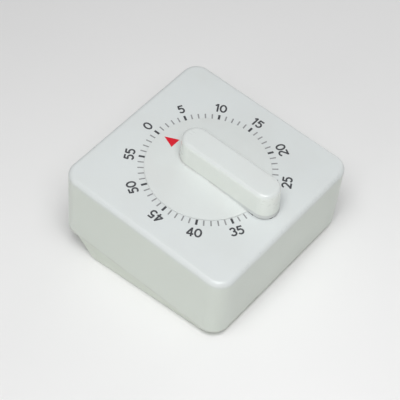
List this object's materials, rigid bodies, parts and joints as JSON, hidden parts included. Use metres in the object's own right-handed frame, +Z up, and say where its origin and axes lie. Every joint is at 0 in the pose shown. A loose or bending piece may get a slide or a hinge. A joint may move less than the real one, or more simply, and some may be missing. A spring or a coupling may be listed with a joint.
{
  "type": "kitchen timer",
  "caption": "Square white clockwork kitchen timer: minute scale on the face, round dial with a grip bar and pointer, leaning on a wedge-shaped base.",
  "frame": {"origin": "on the rest face, straight below the centre of the dial's face", "axes": "+Z up from the surface it stands on; +Y towards the raised edge and the 0 mark, with the face leaning 7 degrees towards -Y; +X towards the 15 mark"},
  "size_m": [0.066, 0.0687, 0.0457],
  "materials": {
    "case_plastic": "satin moulded white",
    "cover_plastic": "fine matt moulded white",
    "dial_plastic": "satin moulded white",
    "plate_steel": "zinc plated sheet",
    "arbor_steel": "turned",
    "spring_steel": "blued",
    "gong_steel": "nickel plated",
    "screw_steel": "zinc plated",
    "brass": "stamped",
    "scale_ink": "pad-printed black ink",
    "pointer_ink": "pad-printed red ink"
  },
  "bodies": {
    "case": {"front_shell": "case_plastic", "rear_cover": "cover_plastic", "cover_screws": "screw_steel", "front_plate": "plate_steel", "back_plate": "plate_steel", "plate_pillars": "brass", "plate_screws": "screw_steel", "movement_screws": "screw_steel", "main_bush_front": "brass", "main_bush_back": "brass", "spring_cup": "plate_steel", "mainspring": "spring_steel", "spring_anchor_pin": "spring_steel", "hammer_post": "arbor_steel", "hammer_spring": "spring_steel", "gong": "gong_steel", "gong_post": "brass", "gong_screw": "screw_steel"},
    "dial": {"knob": "dial_plastic", "main_arbor": "arbor_steel", "great_wheel": "brass", "stop_pin": "arbor_steel", "clutch_spring": "spring_steel", "trip_cam": "brass", "arbor_clip": "spring_steel"},
    "second_arbor": {"second_wheel": "brass", "second_pinion": "arbor_steel"},
    "third_arbor": {"third_wheel": "brass", "third_pinion": "arbor_steel"},
    "escape_arbor": {"escape_wheel": "brass", "escape_pinion": "arbor_steel"},
    "balance": {"pallet_arbor": "arbor_steel", "pallet_lever": "plate_steel", "pallet_pins": "arbor_steel", "balance_wheel": "brass"},
    "hammer": {"hammer_arm": "plate_steel", "hammer_head": "arbor_steel"}
  },
  "joints": [
    {"name": "dial_turn", "type": "hinge", "parent": "case", "child": "dial", "pos_m": [0, 0, 0.03365], "axis": [0, -0.1219, 0.9925], "range_deg": [-348, 0], "deforming": ["mainspring"]},
    {"name": "second_spin", "type": "hinge", "parent": "case", "child": "second_arbor", "pos_m": [0.009, 0.01283, 0.03522], "axis": [0, -0.1219, 0.9925], "range_deg": [0, 2088]},
    {"name": "third_spin", "type": "hinge", "parent": "case", "child": "third_arbor", "pos_m": [0.0175, 0.00242, 0.03395], "axis": [0, -0.1219, 0.9925], "range_deg": [-10440, 0]},
    {"name": "escape_spin", "type": "hinge", "parent": "case", "child": "escape_arbor", "pos_m": [0.016, -0.00864, 0.03259], "axis": [0, -0.1219, 0.9925], "range_deg": [0, 41760]},
    {"name": "balance_swing", "type": "hinge", "parent": "case", "child": "balance", "pos_m": [0.0065, -0.01519, 0.03178], "axis": [0, -0.1219, 0.9925], "range_deg": [-8, 8]},
    {"name": "hammer_swing", "type": "hinge", "parent": "case", "child": "hammer", "pos_m": [-0.0219, 0.00447, 0.0342], "axis": [0, -0.1219, 0.9925], "range_deg": [-12, 0], "stiffness_Nm_per_rad": 0.004, "springref_deg": 8.59, "deforming": ["hammer_spring"]}
  ],
  "couplings": [
    {"joint": "second_spin", "follows": "dial_turn", "ratio": -6},
    {"joint": "third_spin", "follows": "dial_turn", "ratio": 30},
    {"joint": "escape_spin", "follows": "dial_turn", "ratio": -120}
  ]
}
